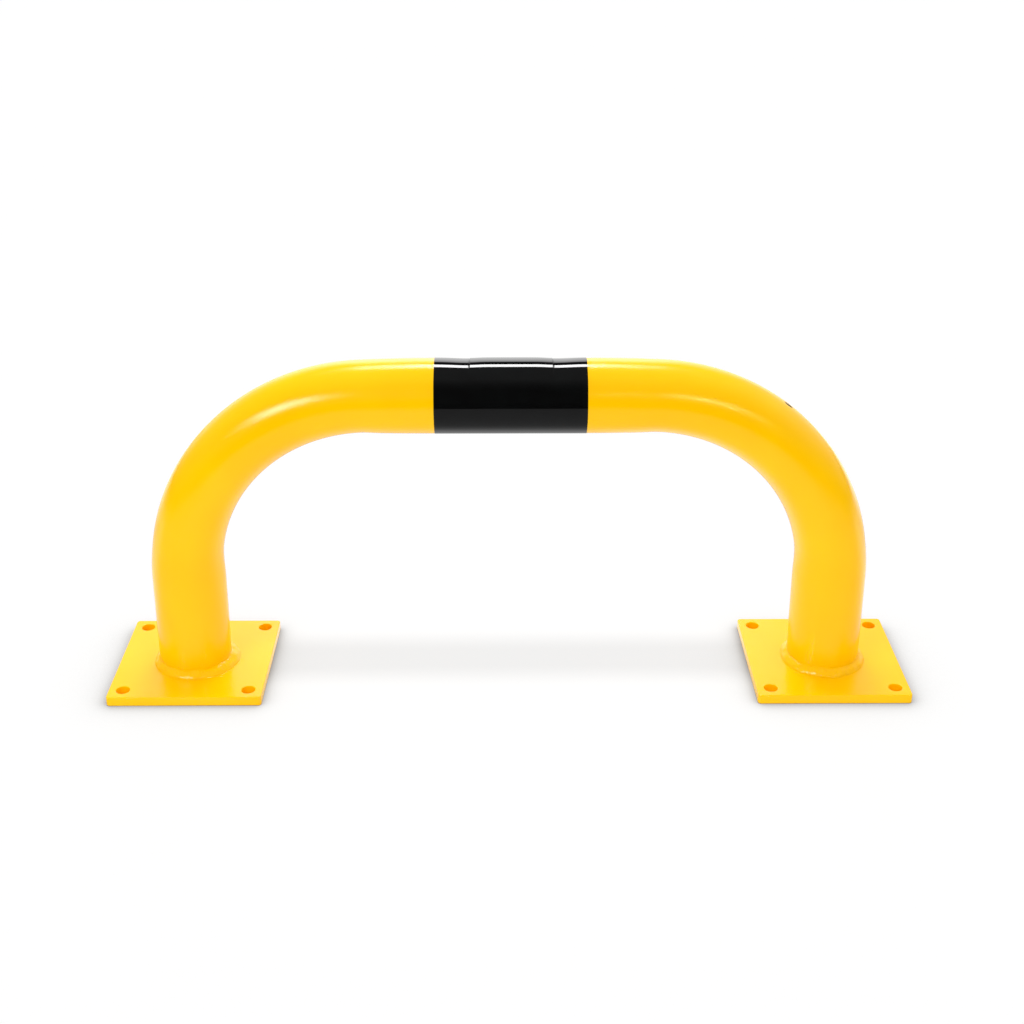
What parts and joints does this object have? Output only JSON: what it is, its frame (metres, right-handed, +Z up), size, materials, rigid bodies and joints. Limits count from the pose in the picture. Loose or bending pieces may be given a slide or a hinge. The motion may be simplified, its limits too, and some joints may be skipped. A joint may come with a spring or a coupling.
{
  "type": "hoop barrier",
  "caption": "Floor-fixed steel hoop barrier: a bent round tube welded to square base plates with anchor holes, yellow with a black band, for guarding racks and machines.",
  "frame": {"origin": "on the floor, midway between the two base plates", "axes": "+X along the bar, to the right as seen from the front; +Y away from the viewer; +Z up"},
  "size_m": [0.8338, 0.16, 0.3502],
  "materials": {
    "yellow_powder_coat": "gloss powder coat on steel",
    "black_film": "glossy self-adhesive film"
  },
  "bodies": {
    "root": {"hoop_tube": "yellow_powder_coat", "left_base_plate": "yellow_powder_coat", "right_base_plate": "yellow_powder_coat", "left_weld": "yellow_powder_coat", "right_weld": "yellow_powder_coat", "black_band": "black_film"}
  },
  "joints": []
}
